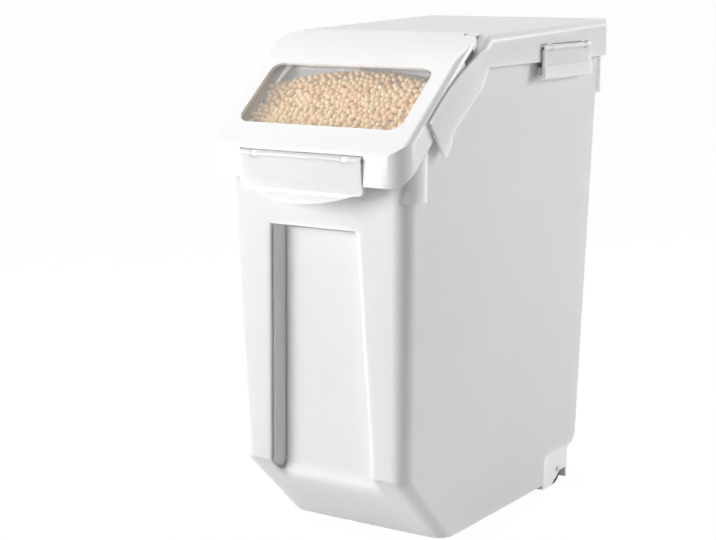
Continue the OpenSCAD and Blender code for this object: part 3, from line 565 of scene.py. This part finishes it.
def tubBlocks(name, boxes, soft):
    bm = bmesh.new()
    for low, high in boxes:
        for v in bmesh.ops.create_cube(bm, size=1)["verts"]:
            v.co = Vector([(a + b) / 2 + c * (b - a) for a, b, c in zip(low, high, v.co)]) * mm
    bmesh.ops.bevel(bm, geom=bm.edges[:], offset=soft * mm, segments=3, profile=0.5, affect="EDGES")
    finishMesh(name, bm, "base", "tub", (), 35)


ledgeShape = {"inX": 96, "outX": 102.9, "y": 92.548, "half": 44.5, "z": 418.9, "high": 6, "soft": 0.6}


def makeLedges():  # what the side clips hook under
    t = ledgeShape
    boxes = []
    for side in (-1, 1):
        left, right = sorted((side * t["inX"], side * t["outX"]))
        boxes.append(((left, t["y"] - t["half"], t["z"]), (right, t["y"] + t["half"], t["z"] + t["high"])))
    tubBlocks("tubLedges", boxes, t["soft"])


catchShape = {"half": 40.0, "frontY": -184.95, "rearY": -171, "z": 334.458, "high": 4, "soft": 0.5}


def makeCatch():  # what the front latch hooks over
    t = catchShape
    low, high = (-t["half"], t["frontY"], t["z"]), (t["half"], t["rearY"], t["z"] + t["high"])
    tubBlocks("latchCatch", [(low, high)], t["soft"])


makeEars()
makeRim()
makeLedges()
makeCatch()
makeTub()
print("tub lofted")

heap = {
    "crestX": 8.0, "crestZ": 426.0, "left": 0.00155, "right": 0.0018, "rear": 12.0, "soft": 5.0, "most": 447,
    "proud": 4.0, "under": -6.8, "edge": 0.3,  # height off the mouth's plane, inside it and near its edge
    "bean": 2.8, "depth": 11.0, "back": -18.0, "frontZ": 353, "midZ": 400, "wallGap": 3.2, "packed": 0.78,
    "turns": 36, "lift": 0.12, "ease": 0.6, "seed": 11,
}


def mouthRoom(x, y):  # how far a place lies inside the mouth's edge
    b = binShape
    middle = (b["mouthStart"] + b["mouthEnd"]) / 2
    reach = (b["mouthEnd"] - b["mouthStart"]) / 2 - b["mouthRound"]
    outX = abs(x) - (b["mouthHalf"] - b["mouthRound"])
    outS = abs((b["ridgeY"] - y) / slopeCos - middle) - reach
    return b["mouthRound"] - math.hypot(max(outX, 0), max(outS, 0)) - min(max(outX, outS), 0)


def heapTop(x, y):
    b, h = binShape, heap
    top = h["crestZ"] - (x - h["crestX"]) ** 2 * (h["left"] if x < h["crestX"] else h["right"])
    crestY = b["ridgeY"] + (top - b["ridgeZ"]) * slopeCos / slopeSin
    if y > crestY:
        rise = (y - crestY) * math.tan(math.radians(h["rear"]))
        top -= math.hypot(rise, h["soft"]) - h["soft"]
    room = h["proud"] if mouthRoom(x, y) > h["bean"] + h["edge"] else h["under"]
    return min(top, b["ridgeZ"] + (y - b["ridgeY"]) * slopeSin / slopeCos + room / slopeCos, h["most"])


def insideTub(x, y, z, gap):  # brings a place in from the tub's walls and round corners
    half, front, rear, r = sideAt(z) - gap, frontAt(z) + gap, rearAt(z) - gap, tubForm["cornerR"] - gap
    x, y = max(-half, min(half, x)), max(front, min(rear, y))
    cx = max(r - half, min(half - r, x))
    cy = max(front + r, min(rear - r, y))
    dx, dy = x - cx, y - cy
    length = math.hypot(dx, dy)
    if length > r:
        x, y = cx + dx * r / length, cy + dy * r / length
    return x, y


fillShape = {"rows": 81, "columns": 41, "wide": 110, "startZ": 380.0, "gap": 0.5, "under": 2.4, "thick": 38}


def makeFill():  # the dense part of the heap, under the loose beans
    f = fillShape
    gap = binShape["wall"] + f["gap"]
    bm = bmesh.new()
    grid = []
    for v in np.linspace(0, 1, f["rows"]):
        row = []
        for u in np.linspace(-1, 1, f["columns"]):
            z = f["startZ"]
            for _ in range(4):
                x, y = insideTub(u * f["wide"], frontAt(z) + v * (rearAt(z) - frontAt(z)), z, gap)
                z = heapTop(x, y) - heap["bean"] * f["under"]
            row.append(bm.verts.new((x * mm, y * mm, z * mm)))
        grid.append(row)
    for a, b in zip(grid, grid[1:]):
        for i in range(len(a) - 1):
            bm.faces.new((a[i], a[i + 1], b[i + 1], b[i]))
    rim = [e for e in bm.edges if len(e.link_faces) == 1]
    made = bmesh.ops.extrude_edge_only(bm, edges=rim)["geom"]
    for v in [g for g in made if isinstance(g, bmesh.types.BMVert)]:
        z = v.co.z / mm - f["thick"]
        x, y = insideTub(v.co.x / mm, v.co.y / mm, z, gap)
        v.co = Vector((x, y, z)) * mm
    bmesh.ops.holes_fill(bm, edges=[e for e in bm.edges if len(e.link_faces) == 1], sides=0)
    finishMesh("soybeanFill", bm, "base", "soybean", ("grain",))


def beanPlaces(rng):  # strews the beans over the heap, then pushes apart those that overlap
    h, r = heap, heap["bean"]
    yLow, yHigh = frontAt(h["frontZ"]) + h["wallGap"] + r, h["back"]
    wide = sideAt(h["midZ"]) - h["wallGap"]
    count = int((yHigh - yLow) * 2 * wide * h["depth"] * h["packed"] / (4 / 3 * math.pi * r ** 3))
    points = []
    for _ in range(count):
        y = rng.uniform(yLow, yHigh)
        x = rng.uniform(-1, 1) * (wide - r)
        points.append(Vector((x, y, heapTop(x, y) - r - rng.uniform(0, h["depth"]))))
    for _ in range(h["turns"]):
        tree = kdtree.KDTree(len(points))
        for i, p in enumerate(points):
            tree.insert(p, i)
        tree.balance()
        moves = [Vector((0, 0, h["lift"])) for _ in points]
        for i, p in enumerate(points):
            for other, j, gap in tree.find_range(p, 2 * r):
                if j > i and gap > 1e-4:
                    push = (p - other) * ((2 * r - gap) / gap * 0.5)
                    moves[i] += push
                    moves[j] -= push
        for p, move in zip(points, moves):
            p += move * h["ease"]
            half = sideAt(p.z) - h["wallGap"] - r
            p.x = max(-half, min(half, p.x))
            p.y = max(frontAt(p.z) + h["wallGap"] + r, min(yHigh, p.y))
            p.z = min(p.z, heapTop(p.x, p.y) - r)
    return points


def oneBean(around, along):  # a round bean of radius 1
    points, faces = [(0, 0, 1)], []
    for k in range(1, along):
        tilt = math.pi * k / along
        for i in range(around):
            turn = 2 * math.pi * i / around
            points.append((math.sin(tilt) * math.cos(turn), math.sin(tilt) * math.sin(turn), math.cos(tilt)))
    points.append((0, 0, -1))
    last = len(points) - 1
    for i in range(around):
        j = (i + 1) % around
        faces.append((0, 1 + i, 1 + j))
        faces.append((last, last - around + j, last - around + i))
        for k in range(along - 2):
            a, b = 1 + k * around, 1 + (k + 1) * around
            faces.append((a + i, b + i, b + j, a + j))
    return np.array(points), faces


beanShape = {"size": (0.93, 1.06), "long": (1.02, 1.12), "wide": (0.95, 1.02), "thin": (0.86, 0.95),
             "fine": (12, 8), "coarse": (8, 5), "seenDepth": 2.6, "fullTurn": 6.283, "halfTurn": 3.14}


def makeBeans():
    rng = random.Random(heap["seed"])
    s = beanShape
    points = beanPlaces(rng)
    fine, coarse = oneBean(*s["fine"]), oneBean(*s["coarse"])
    spots, faces, local = [], [], []
    total = 0
    for p in points:
        shape, loops = fine if heapTop(p.x, p.y) - p.z < s["seenDepth"] * heap["bean"] else coarse
        size = heap["bean"] * rng.uniform(*s["size"])
        radii = np.array([size * rng.uniform(*s[way]) for way in ("long", "wide", "thin")])
        first = Matrix.Rotation(rng.uniform(0, s["fullTurn"]), 3, "Z")
        second = Matrix.Rotation(rng.uniform(0, s["halfTurn"]), 3, "X")
        third = Matrix.Rotation(rng.uniform(0, s["fullTurn"]), 3, "Z")
        body = shape * radii @ np.array(first @ second @ third).T + np.array(p)
        spots.append(body * mm)
        local.append(shape)
        faces += [tuple(total + i for i in f) for f in loops]
        total += len(shape)
    mesh = bpy.data.meshes.new("soybeans")
    mesh.from_pydata(np.concatenate(spots).tolist(), [], faces)
    place = mesh.attributes.new("beanPlace", "FLOAT_VECTOR", "POINT")
    place.data.foreach_set("vector", np.concatenate(local).astype(np.float32).ravel())
    mesh.polygons.foreach_set("use_smooth", [True] * len(mesh.polygons))
    mesh.materials.append(finishes["soybean"])
    piece = addToScene("soybeans", mesh)
    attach(piece, "base")
    print("soybeans:", len(points), "beans,", len(mesh.polygons), "faces")


makeFill()
makeBeans()

floorLook = {"reach": 30, "cells": 12, "colour": (0.80, 0.80, 0.80), "rough": 0.9,
             "light": 1.02, "share": 0.95}  # the floor's own brightness and its share before the camera


def makeFloor():
    mesh = bpy.data.meshes.new("studioFloor")
    bm = bmesh.new()
    cells = floorLook["cells"]
    bmesh.ops.create_grid(bm, x_segments=cells, y_segments=cells, size=floorLook["reach"])
    bm.to_mesh(mesh)
    bm.free()
    floor = addToScene("studioFloor", mesh)
    mat, tree, shader = newFinish("paleFloor")
    shader.inputs["Base Color"].default_value = (*floorLook["colour"], 1)
    shader.inputs["Roughness"].default_value = floorLook["rough"]
    glow = tree.nodes.new("ShaderNodeEmission")
    glow.inputs["Color"].default_value = (1, 1, 1, 1)
    glow.inputs["Strength"].default_value = floorLook["light"]
    path = tree.nodes.new("ShaderNodeLightPath")
    share = tree.nodes.new("ShaderNodeMath")
    share.operation = "MULTIPLY"
    share.inputs[1].default_value = floorLook["share"]
    tree.links.new(path.outputs["Is Camera Ray"], share.inputs[0])
    look = mixShaders(tree, share.outputs["Value"], shader.outputs["BSDF"], glow.outputs["Emission"])
    tree.links.new(look, tree.nodes["Material Output"].inputs["Surface"])
    mesh.materials.append(mat)


makeFloor()
print("floor laid")

studioLights = {
    "keyLamp": {"from": (-1.85, -1.85, 0.72), "size": 1.3, "power": 70, "at": (0, -0.02, 0.25)},
    "rearLamp": {"from": (1.80, 1.84, 0.94), "size": 1.2, "power": 39, "at": (0, 0.05, 0.25)},
    "topLamp": {"from": (-0.05, 0.05, 2.1), "size": 1.6, "power": 15, "at": (0, 0.0, 0.25)},
}
worldLight = {"level": 0.27, "seen": 1.0}  # what lights the bin, and what the camera, gloss and window see


def makeLamps():
    for name, lamp in studioLights.items():
        data = bpy.data.lights.new(name, "AREA")
        data.shape, data.size, data.energy = "DISK", lamp["size"], lamp["power"]
        light = addToScene(name, data)
        light.location = lamp["from"]
        light.rotation_mode = "QUATERNION"
        light.rotation_quaternion = (Vector(lamp["at"]) - Vector(lamp["from"])).to_track_quat("-Z", "Y")


def makeWorld():
    world = bpy.data.worlds.new("paleStudio")
    bpy.context.scene.world = world
    world.use_nodes = True
    tree = world.node_tree
    back = tree.nodes["Background"]
    back.inputs["Color"].default_value = (1, 1, 1, 1)
    path = tree.nodes.new("ShaderNodeLightPath")
    seen = path.outputs["Is Camera Ray"]
    for ray in ("Is Glossy Ray", "Is Transmission Ray"):
        either = tree.nodes.new("ShaderNodeMath")
        either.operation = "MAXIMUM"
        tree.links.new(seen, either.inputs[0])
        tree.links.new(path.outputs[ray], either.inputs[1])
        seen = either.outputs["Value"]
    level = spreadOn(tree, seen, worldLight["level"], worldLight["seen"])
    tree.links.new(level, back.inputs["Strength"])


makeLamps()
makeWorld()
bpy.context.scene.view_settings.view_transform = "Standard"
print("lamps and world set")

print("rice bin: done")
